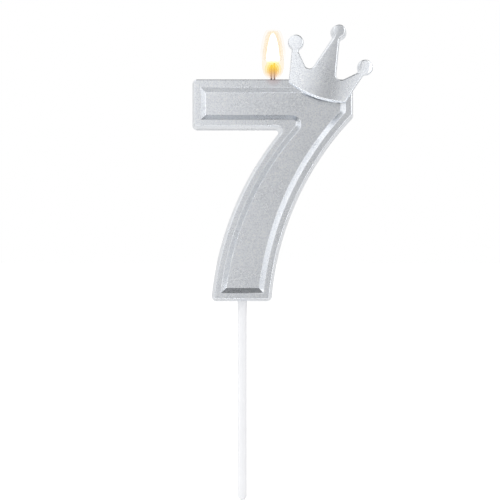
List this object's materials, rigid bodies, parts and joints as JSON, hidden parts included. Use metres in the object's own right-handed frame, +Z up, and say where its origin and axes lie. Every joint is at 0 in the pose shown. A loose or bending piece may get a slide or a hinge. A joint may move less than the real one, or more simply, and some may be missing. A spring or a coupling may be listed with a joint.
{
  "type": "number birthday candle",
  "caption": "Wax number seven candle with a glued crown relief and a cotton wick, standing on a plastic pick that pushes into a cake.",
  "frame": {"origin": "on the pick's axis where its straight shank begins, which is about level with the cake's top", "axes": "+Z up along the pick, -Y out of the face with the crown, +X to the right as the seven is read"},
  "size_m": [0.0577, 0.015, 0.152],
  "materials": {
    "silver_wax": "wax under a silver metallic lacquer",
    "glue": "translucent hot-melt glue",
    "wick_cotton": "waxed cotton cord",
    "white_plastic": "smooth moulded plastic"
  },
  "bodies": {
    "pick": {"pick": "white_plastic"},
    "numeral": {"numeral_body": "silver_wax", "crown": "silver_wax", "crown_glue": "glue", "wick_core": "wick_cotton"},
    "wick_left": {"wick_left": "wick_cotton"},
    "wick_right": {"wick_right": "wick_cotton"}
  },
  "joints": [
    {"name": "numeral_lifts_off", "type": "slide", "parent": "pick", "child": "numeral", "axis": [0, 0, 1], "range_m": [0, 0.013]},
    {"name": "wick_left_bends", "type": "hinge", "parent": "numeral", "child": "wick_left", "pos_m": [0.0094, 0, 0.07605], "axis": [1, 0, 0], "range_deg": [-45, 45]},
    {"name": "wick_right_bends", "type": "hinge", "parent": "numeral", "child": "wick_right", "pos_m": [0.0104, 0, 0.07605], "axis": [1, 0, 0], "range_deg": [-45, 45]}
  ]
}
